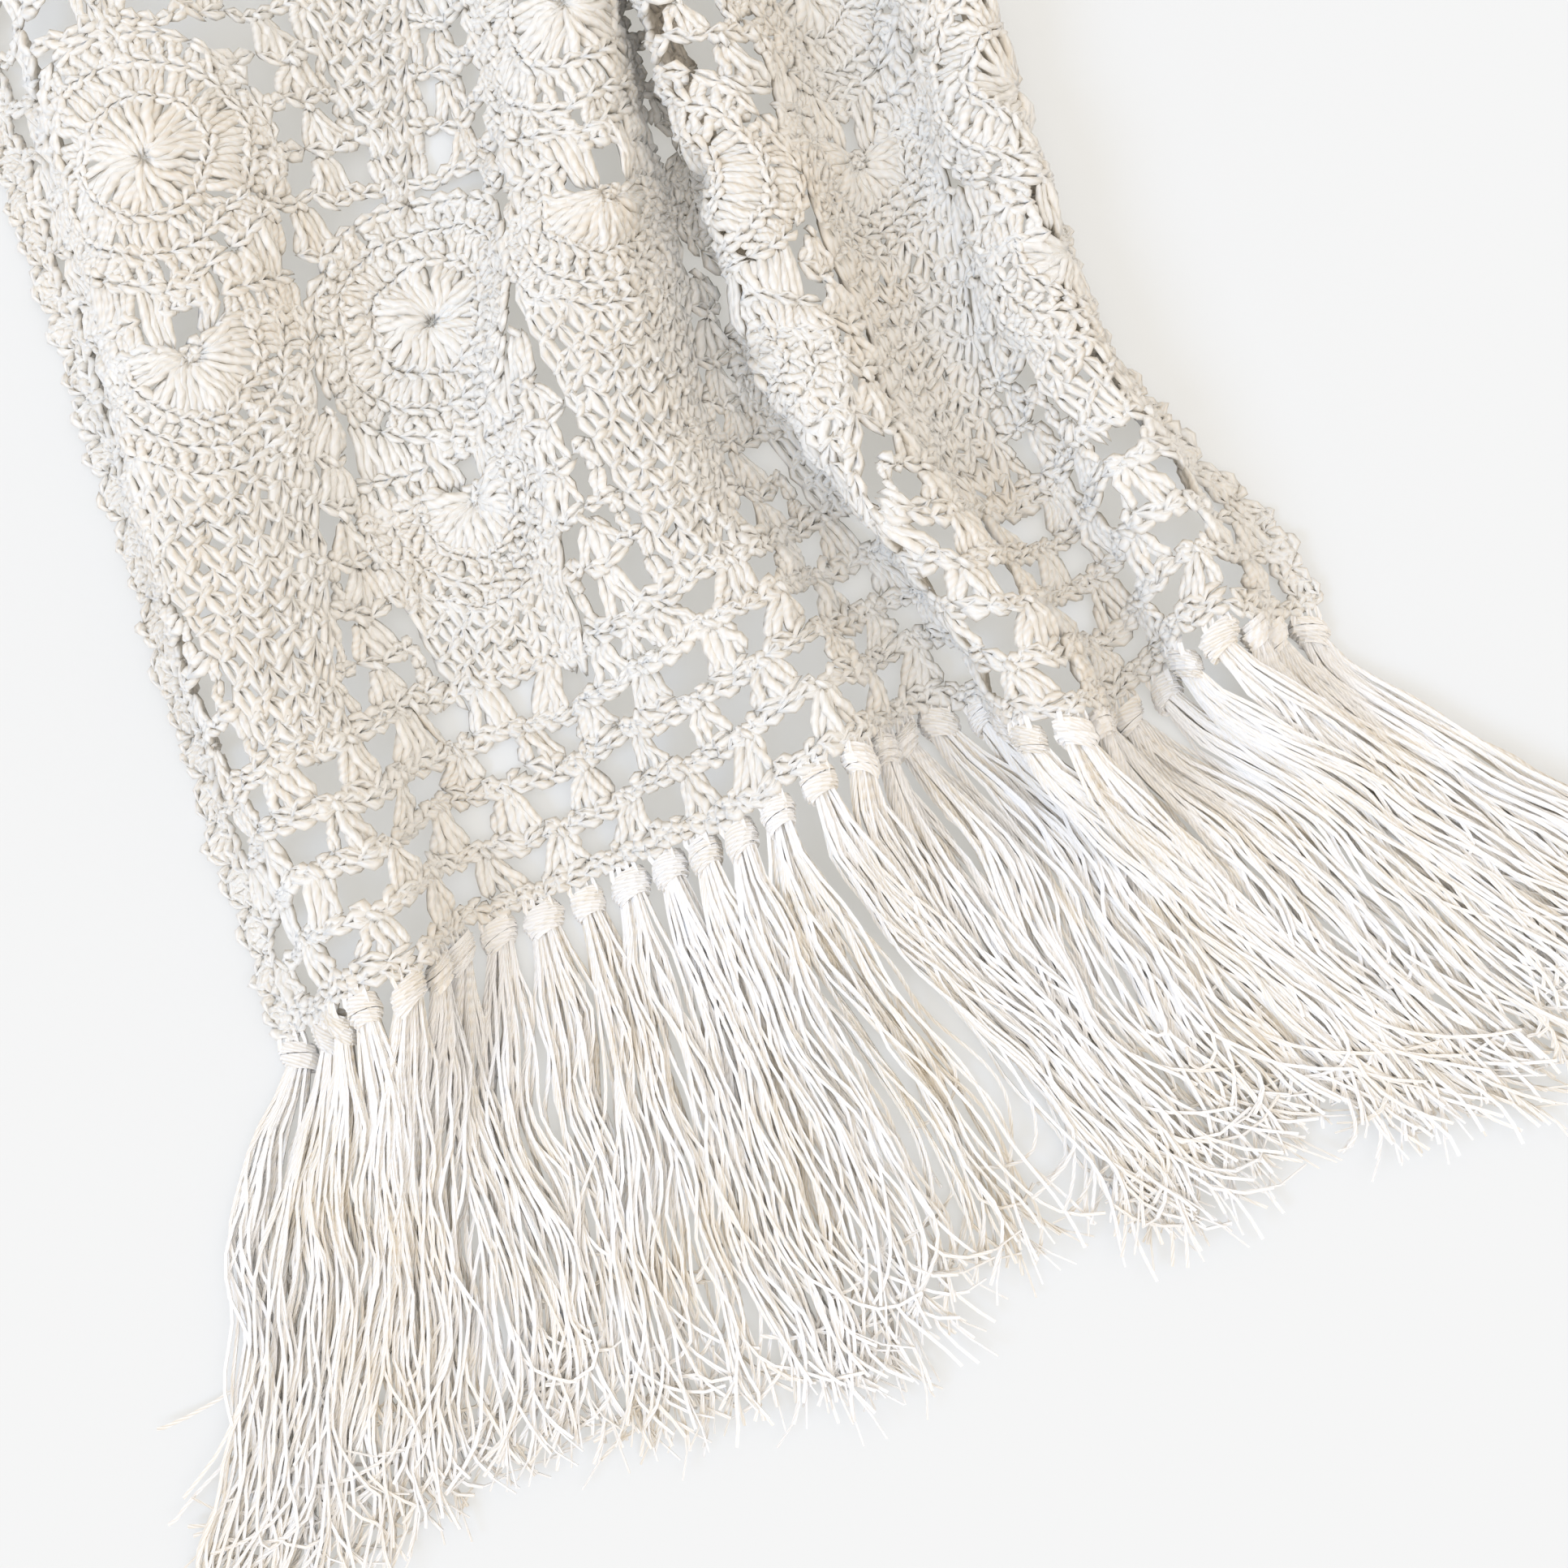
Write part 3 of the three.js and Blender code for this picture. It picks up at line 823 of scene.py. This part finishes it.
def cotton_strand(name, light, painted_shade_and_tone, twist):
    """The same cotton cut for the fringe, on swept strands that carry run and turn attributes.

    The eye sees two plies in a slow twist, white on top, with painted shade in the grooves and on
    the strands low in the tassel.
    """
    material = bpy.data.materials.new(name)
    tree = emptied(material)
    around = maths(tree, "MULTIPLY", carried(tree, "turn"), 4 * math.pi)
    wave = maths(tree, "SINE", maths(tree, "MULTIPLY_ADD", carried(tree, "run"), twist / MM, around))
    colour = ply_colour(tree, wave, 0.2, 0.5, 30.0, 0.55, 1.5, light, painted_shade_and_tone)
    dull_cotton(tree, colour, 0.9, 0.15, wave, 0.4, 0.00018)
    return material


# ------------------------------
# Pieces

LAY = Lay()
LAY.seat("crochet_panel")


def stitch_places(rows, seed):
    """Chart rows to world places: position, direction, facing, size and random tone of each stitch."""
    random = np.random.default_rng(seed)
    count = len(rows)
    tall = rows[:, 0] <= CROSSED_POST
    loose = np.where(tall, 1.0, 0.4)[:, None]
    ends = rows[:, 1:5] + random.normal(0, 0.45, (count, 4)) * loose
    ends[:, ::2] = np.clip(ends[:, ::2], 0.3, FLAT_WIDTH - 0.3)
    kinds = np.where(tall, random.integers(0, 2, count), rows[:, 0]).astype(np.int32)

    def placed(place, lift):
        across, along = place.T
        pucker, wander, drift = (
            amount * soft_noise(across, along, wavelength, field)
            for amount, wavelength, field in ((0.9, 46, 5), (1.3, 60, 8), (1.3, 55, 9)))
        spots = LAY.points(np.clip(across + wander, 0.2, FLAT_WIDTH - 0.2), along + drift,
                           lift + random.normal(0, 0.4, count) * loose[:, 0] + (pucker + 1.3))
        spots[:, 2] = np.maximum(spots[:, 2], 1.5)
        return spots

    base = placed(ends[:, :2], rows[:, 5])
    along = placed(ends[:, 2:], rows[:, 6]) - base
    length = np.linalg.norm(along, axis=1)
    middle = (ends[:, :2] + ends[:, 2:]) / 2
    facing = LAY.normals(*middle.T) + random.normal(0, 0.22, (count, 3)) * loose
    girth = rows[:, 7] * random.normal(1.0, 0.08, count)
    stretch = length / np.where(tall, POST_LENGTH, LINK_LENGTH)
    return {"base": base * MM, "along": along / length[:, None], "facing": facing,
            "size": np.stack([girth, stretch, girth], axis=1), "stitch": kinds,
            "tone_and_painted_shade": random.uniform(0, 1, count)}


def carry(mesh, label, values, kind="FLOAT"):
    """Stores a value for each point of a mesh."""
    key = "vector" if kind == "FLOAT_VECTOR" else "value"
    attribute = mesh.attributes.new(label, kind, "POINT")
    attribute.data.foreach_set(key, values.ravel().astype(np.int32 if kind == "INT" else np.float32))


def point_object(places, chosen):
    """A mesh of points alone, which carries the chart's values."""
    mesh = bpy.data.meshes.new("chart")
    mesh.from_pydata(places["base"][chosen].tolist(), [], [])
    for label, kind in (("along", "FLOAT_VECTOR"), ("facing", "FLOAT_VECTOR"), ("size", "FLOAT_VECTOR"),
                        ("stitch", "INT"), ("tone_and_painted_shade", "FLOAT")):
        carry(mesh, label, places[label][chosen], kind)
    return bpy.data.objects.new("chart", mesh)


def library(name, stitches):
    """A collection of stitches in the order of their numbers, outside the scene."""
    collection = bpy.data.collections.new(name)
    for number, stitch in enumerate(stitches):
        label = f"{name}_{number}"
        collection.objects.link(bpy.data.objects.new(label, mesh_of(label, *stitch)))
    return collection


def finish_piece(piece):
    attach(piece, "root")


THICKNESS = {"min": 1.0 * MM, "max": 3.0 * MM, "subtype": "DISTANCE", "unit": "LENGTH", "precision": 4}


class RunnerSizes(bpy.types.PropertyGroup):
    yarn: FloatProperty(name="Yarn", description="Diameter of the crochet yarn", default=2.6 * MM,
                        **THICKNESS)
    strand: FloatProperty(name="Fringe strand", description="Diameter of a fringe strand",
                          default=1.5 * MM, **THICKNESS)
    strands: IntProperty(name="Strands", description="Strands in one tassel", default=38, min=8, max=40)
    bands: IntProperty(name="Bands", description="Pieces that the crochet is worked in", default=5,
                       min=4, max=8)


COLOURS = (
    ("yarn_light", "Yarn, raised", "Colour on the yarn's raised plies", "#FFFFFD"),
    # painted shade in the grooves between the plies, and a random darker tone
    ("yarn_deep", "Yarn, grooves", "Colour between the yarn's plies", "#F9F2E6"),
    # painted shade on the yarn's sides and underside
    ("yarn_under", "Yarn, underneath", "Colour of the yarn's shaded side", "#FAF3E7"),
    ("strand_light", "Strand, raised", "Colour on a fringe strand's plies", "#FFFFFF"),
    # painted shade in the grooves and on the lower strands of a tassel, and a random darker tone
    ("strand_deep", "Strand, grooves", "Colour between its plies", "#F1E6D0"),
)


class RunnerColours(bpy.types.PropertyGroup):
    __annotations__ = {
        key: FloatVectorProperty(name=label, description=about, default=linear(code)[:3], size=3,
                                 min=0, max=1, subtype="COLOR")
        for key, label, about, code in COLOURS
    }


def colour_of(context, key):
    """One of the runner's colours, with its alpha."""
    return [*getattr(context.scene.runner_colours, key), 1]


class RUNNER_OT_crochet(bpy.types.Operator):
    """Works the crochet panel: its inner strands as one net and its stitches in bands"""
    bl_idname = "runner.crochet"
    bl_label = "Crochet panel"

    def execute(self, context):
        sizes = context.scene.runner_sizes
        radius = sizes.yarn / MM / 2
        rows = full_chart()
        places = stitch_places(rows, 11)
        material = cotton_yarn("Undyed cotton crochet yarn", colour_of(context, "yarn_light"),
                               colour_of(context, "yarn_deep"), colour_of(context, "yarn_under"),
                               plies=3, twist=2.3)
        tree = stitch_tree()

        def posts(side, fine):
            return [post_strand(radius, side, crossed, fine) for crossed in (False, True)]

        stitches = library("stitch", [made for fine in (True, False) for made in (
            *posts(1, fine), link_strand(radius, fine), knot_strand(radius, fine))])
        halves = library("half", [made for fine in (True, False) for made in posts(-1, fine)])
        kinds = places["stitch"]
        coarse = rows[:, 2] > FINE_REACH

        def worked(name, chosen, made, fine_kinds):
            places["stitch"] = kinds + fine_kinds * coarse  # the coarse kinds follow the fine ones
            return grown(name, point_object(places, chosen), tree, {"Stitches": made, "Material": material})

        net = worked("crochet_posts", rows[:, 0] <= CROSSED_POST, halves, 2)
        edges = np.linspace(0, PANEL_LENGTH, sizes.bands + 1)
        middle = (rows[:, 2] + rows[:, 4]) / 2
        bands = [worked(f"crochet_band_{number + 1}", (middle >= low) & (middle < high), stitches, 4)
                 for number, (low, high) in enumerate(zip(edges[:-1], edges[1:]))]
        for piece in (net, *bands):
            finish_piece(piece)
        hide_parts("crochet_panel")
        return {"FINISHED"}


def tassel_plan(hem, combed):
    """Each tassel's root, heading, aim, and where it lands on the surface and ends across."""
    shares = (np.arange(TASSELS) + 0.5) / TASSELS
    across, along = shares * FLAT_WIDTH, np.full(TASSELS, float(hem))
    roots = LAY.points(across, along)
    aims = np.radians(look_up(combed, shares))
    landings = spaced(roots[:, 0] + LANDING_RUN * np.sin(aims), LANDING_PITCH)
    ends = spaced(landings + END_RUN * np.sin(aims), END_PITCH)
    return zip(roots, LAY.read(across, along)[2], aims, landings, ends)


def spaced(places, pitch):
    """Moves sorted places apart until each is at least one pitch from the next."""
    moved = places.copy()
    for _ in range(400):
        for i in range(1, len(moved)):
            short = pitch - (moved[i] - moved[i - 1])
            if short > 0:
                moved[i] += short / 2
                moved[i - 1] -= short / 2
    return moved


WIDEST = 255  # strands beyond this are held back, so that the fan stays in its width
NEAR_POINTS, FAR_POINTS = 22, 13  # along a strand
SHORT, STRAY, CURLED, FRAYED = 0.14, 0.09, 0.14, 0.4  # shares of the strands
OPENED = 28  # from the knot to where a tassel has opened
FRAY_POINTS = 4
WRAPS = 7  # turns of yarn in a knot
WRAP_POINTS = 11


def tassel_strands(place, outward, number, count, points, radius, random):
    """Strands of one tassel, from inside the knot to their cut ends, with their thickness."""
    root, heading, aim, landing_x, end_x = place
    sway = random.normal(0, 3.0) + 3.5 * math.sin(number * 0.95 + 0.6)
    stray_end = random.normal(0, 5.0)  # how far the tassel's end lies from its place in the row
    bow = random.normal(0, 3.5)
    pile = random.uniform(0, 4.5)  # which tassel lies over which
    reach = TASSEL_LENGTH * (random.normal(0.98, 0.025) + 0.05 * math.sin(number * 0.8))
    steps = np.linspace(0, 1, points) ** 0.85
    start = KNOT_GAP + 0.6 * KNOT_LENGTH
    lines, radii, tones_and_painted_shades = [], [], []
    for _ in range(count):
        angle = random.uniform(0, math.tau)
        out = math.sqrt(random.uniform(0, 1))
        side, up = out * math.cos(angle), out * math.sin(angle)
        length = reach * random.normal(1.0, 0.03)
        if random.uniform() < SHORT:
            length *= random.uniform(0.72, 0.95)
        stray = random.uniform() < STRAY
        pace, swing = random.uniform(5, 9), random.uniform(0.4, 1.8)
        slow_pace, slow_swing = random.uniform(13, 24), random.uniform(0.3, 3.6)
        if stray:
            swing, slow_swing = 1.5, 7.0
        phase, slow_phase = random.uniform(0, math.tau, 2)
        drift = random.normal(0, 6.0)
        bend = random.normal(0, 0.65) + (random.choice([-1.7, 1.7]) if random.uniform() < CURLED else 0)
        bend_run = random.uniform(22, 48)

        def laid(share):
            run = share * length
            to_landing = np.clip(run / LANDING_RUN, 0, 1)
            beyond = np.clip((run - LANDING_RUN) / END_RUN, 0, 1.2)
            lowered = ease(to_landing)
            opened = ease(run / OPENED)
            centre = (mix(root[0], landing_x, (to_landing + lowered) / 2) + (end_x - landing_x) * beyond
                      + sway * np.sin(share * 2.2) + bow * np.sin(share * 6.0) + stray_end * share ** 1.6)
            wide = side * (4.0 + 5.6 * opened + 3.8 * share ** 1.3)
            clump = soft_noise(centre + 1.5 * wide, run, 58, 31 + number % 5)
            curled = np.clip(run - (length - bend_run), 0, None)
            turn = bend * (curled / bend_run) ** 1.2
            chord = curled * np.sinc(turn / math.tau)
            lost = curled - chord * np.cos(turn / 2)
            wide = (wide + 1.4 * clump * opened + swing * np.sin(run / pace + phase) * opened
                    + slow_swing * np.sin(run / slow_pace + slow_phase) * share + drift * share ** 2
                    + chord * np.sin(turn / 2))
            tall = up * (2.2 + 0.7 * opened - 1.1 * share) + 0.7 * np.sin(run / pace + phase + 1.4) * opened
            tilt = heading * (1 - lowered)
            height = mix(root[2], 4.4 + 1.2 * up + pile * (1 - 0.5 * share), lowered)
            x = centre + wide * np.cos(tilt) - tall * np.sin(tilt)
            x = np.sign(x) * (np.abs(x) - 0.7 * np.clip(np.abs(x) - WIDEST, 0, None))
            y = root[1] + outward * (start + (run - lost) * math.cos(aim))
            z = height + wide * np.sin(tilt) + tall * np.cos(tilt)
            return np.stack([x, y, np.maximum(z, 0.9 + 0.25 * up)], axis=1)

        # painted shade: the lower strands, which lie in the shade of those above, are creamier, on top of a
        # random tone
        tone_and_painted_shade = np.clip(0.4 - 0.35 * up + random.uniform(-0.3, 0.4), 0, 1)
        lines.append(laid(steps))
        radii.append(radius * (1.05 - 0.12 * steps))
        tones_and_painted_shades.append(tone_and_painted_shade)
        if random.uniform() < FRAYED:
            ply = laid(np.linspace(0.9, 1.05, FRAY_POINTS))
            spread = random.choice([-1, 1]) * random.uniform(1, 3.5)
            ply[:, 0] += spread * np.linspace(0, 1, FRAY_POINTS) ** 1.3
            lines.append(ply)
            radii.append(np.full(FRAY_POINTS, 0.55 * radius))
            tones_and_painted_shades.append(tone_and_painted_shade)
    return lines, radii, tones_and_painted_shades


def line_object(name, lines, radii, tones_and_painted_shades):
    """Chains of edges that carry a thickness at each point and, for each strand, a tone that is partly
    painted shade.
    """
    points = np.concatenate(lines) * MM
    edges, first = [], 0
    for line in lines:
        edges += [(first + k, first + k + 1) for k in range(len(line) - 1)]
        first += len(line)
    mesh = bpy.data.meshes.new(name)
    mesh.from_pydata(points.tolist(), edges, [])
    carry(mesh, "thickness", np.concatenate(radii) * MM)
    carry(mesh, "tone_and_painted_shade", np.repeat(tones_and_painted_shades, [len(line) for line in lines]))
    return bpy.data.objects.new(name, mesh)


def knot_lines(place, outward, random):
    """A tassel's knot: slanting turns over its neck, and legs that hold it to the hem."""
    root, heading, *_ = place
    lines, radii = [], []

    def placed(side, out, up):
        return np.stack([root[0] + side * math.cos(heading) - up * math.sin(heading),
                         root[1] + outward * out,
                         root[2] + 0.4 + side * math.sin(heading) + up * math.cos(heading)], axis=1)

    slant = random.choice([-1, 1]) * random.uniform(0.8, 2.8)
    girth = random.uniform(5.4, 6.6)
    for turn in range(WRAPS):
        share = turn / (WRAPS - 1)
        bulge = 1 - 0.22 * (2 * share - 0.8) ** 2 + random.normal(0, 0.035)
        angles = np.linspace(0, math.tau, WRAP_POINTS) + random.uniform(0, 0.5)
        line = placed(girth * bulge * np.cos(angles),
                      KNOT_GAP + 0.4 + share * (KNOT_LENGTH - 0.6) + slant * np.cos(angles)
                      - 1.1 * np.sin(angles) + random.normal(0, 0.2),
                      3.9 * bulge * np.sin(angles))
        line[:, 2] = np.maximum(line[:, 2], 1.2)
        lines.append(line)
        radii.append(np.full(len(line), 0.95))
    for side in (-3.6, -1.3, 1.3, 3.6):
        out = np.array([-4.6, -2.2, 0.6, 4.0])
        line = placed(side * np.array([0.7, 1.1, 1.2, 0.9]), out + random.normal(0, 0.4),
                      np.array([0.2, 2.2, 2.4, 1.4]))
        lines.append(line)
        radii.append(np.array([0.8, 1.0, 1.0, 0.9]))
    return lines, radii, random.uniform(0, 0.6, len(lines)).tolist()


def make_fringe(sizes, plan, outward, points, seed):
    """Lines, thicknesses and tones, partly painted shade, of one fringe: each tassel, then its knot."""
    random = np.random.default_rng(seed)
    made = [[], [], []]
    for number, place in enumerate(plan):
        tassel = tassel_strands(place, outward, number, sizes.strands, points, sizes.strand / MM / 2,
                                random)
        for kept, strands, knot in zip(made, tassel, knot_lines(place, outward, random)):
            kept += [*strands, *knot]
    return made


class RUNNER_OT_fringes(bpy.types.Operator):
    """Knots a row of tassels along each hem"""
    bl_idname = "runner.fringes"
    bl_label = "Fringes"

    def execute(self, context):
        sizes = context.scene.runner_sizes
        material = cotton_strand("Undyed cotton fringe strand", colour_of(context, "strand_light"),
                                 colour_of(context, "strand_deep"), twist=1.7)
        tree = strand_tree()
        for name, node, hem, combed, outward, points, seed in (
            ("near_tassels", "near_fringe", 0, NEAR_COMBED, -1, NEAR_POINTS, 21),
            ("far_tassels", "far_fringe", PANEL_LENGTH, FAR_COMBED, 1, FAR_POINTS, 22),
        ):
            made = make_fringe(sizes, tassel_plan(hem, combed), outward, points, seed)
            piece = grown(name, line_object(name, *made), tree, {"Sides": 3, "Material": material})
            finish_piece(piece)
            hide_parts(node)
        return {"FINISHED"}


class RUNNER_OT_stage(bpy.types.Operator):
    """Sets the floor, the lamps and the camera"""
    bl_idname = "runner.stage"
    bl_label = "Stage"

    def execute(self, context):
        scene = context.scene
        scene.view_settings.view_transform = "Standard"
        scene.cycles.diffuse_bounces = 6  # pale yarns light each other deep between the stitches
        scene.cycles.transmission_bounces = 3
        scene.cycles.max_bounces = 7
        mesh = bpy.data.meshes.new("floor")
        half = 4.0
        mesh.from_pydata([(-half, -half, 0), (half, -half, 0), (half, half, 0), (-half, half, 0)], [],
                         [(0, 1, 2, 3)])
        material = bpy.data.materials.new("White studio paper")
        tree = emptied(material)
        paper = add_node(tree, "ShaderNodeBsdfDiffuse", {"Color": linear("#D8DEE7")})
        glow = add_node(tree, "ShaderNodeEmission", {"Color": linear("#FFFCF3"), "Strength": 1.0})
        share = maths(tree, "MULTIPLY", background_rays(tree), 0.45)
        shown(tree, "ShaderNodeOutputMaterial", share, paper, glow)
        mesh.materials.append(material)
        in_scene("floor", mesh)

        scene.world = bpy.data.worlds.new("Studio")
        tree = emptied(scene.world)
        sky, wall = (add_node(tree, "ShaderNodeBackground", {"Color": linear(code), "Strength": strength})
                     for code, strength in (("#FFF2E0", 0.88), ("#F6F6F6", 1.0)))
        shown(tree, "ShaderNodeOutputWorld", background_rays(tree), sky, wall)
        for name, toward, spread, strength, colour in (
            ("key", (-1.5, -0.5, 1.5), 26, 1.25, "#BFDBFF"),
            ("overhead", (0.2, -0.3, 2.0), 60, 0.8, "#F3F6FF"),
        ):
            lamp = bpy.data.lights.new(name, "SUN")
            lamp.angle = math.radians(spread)
            lamp.energy = strength
            lamp.color = linear(colour)[:3]
            lit = in_scene(name, lamp)
            lit.location = toward
            lit.rotation_euler = Vector(toward).to_track_quat("Z", "Y").to_euler()

        camera = scene.camera = in_scene("camera", bpy.data.cameras.new("camera"))
        camera.data.lens = 50
        azimuth, elevation = math.radians(-17.5), math.radians(86)
        distance = 0.7
        aim = Vector((-0.01, -0.556, 0.0))
        away = Vector((math.sin(azimuth) * math.cos(elevation), -math.cos(azimuth) * math.cos(elevation),
                       math.sin(elevation)))
        camera.location = aim + away * distance
        camera.rotation_euler = (-away).to_track_quat("-Z", "Y").to_euler()
        return {"FINISHED"}


class RUNNER_PT_panel(bpy.types.Panel):
    bl_label = "Crochet bed runner"
    bl_idname = "RUNNER_PT_panel"
    bl_space_type = "VIEW_3D"
    bl_region_type = "UI"
    bl_category = "Runner"

    def draw(self, context):
        for group in (context.scene.runner_sizes, context.scene.runner_colours):
            for field in type(group).__annotations__:
                self.layout.prop(group, field)
        for operator in OPERATORS:
            self.layout.operator(operator.bl_idname)


OPERATORS = (RUNNER_OT_crochet, RUNNER_OT_fringes, RUNNER_OT_stage)
CLASSES = (RunnerSizes, RunnerColours, *OPERATORS, RUNNER_PT_panel)


def register():
    for cls in CLASSES:
        bpy.utils.register_class(cls)
    bpy.types.Scene.runner_sizes = PointerProperty(type=RunnerSizes)
    bpy.types.Scene.runner_colours = PointerProperty(type=RunnerColours)


def unregister():
    del bpy.types.Scene.runner_sizes
    del bpy.types.Scene.runner_colours
    for cls in reversed(CLASSES):
        bpy.utils.unregister_class(cls)


def main():
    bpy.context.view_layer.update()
    register()
    bpy.ops.runner.stage()
    bpy.ops.runner.crochet()
    bpy.ops.runner.fringes()


if __name__ == "__main__":
    main()
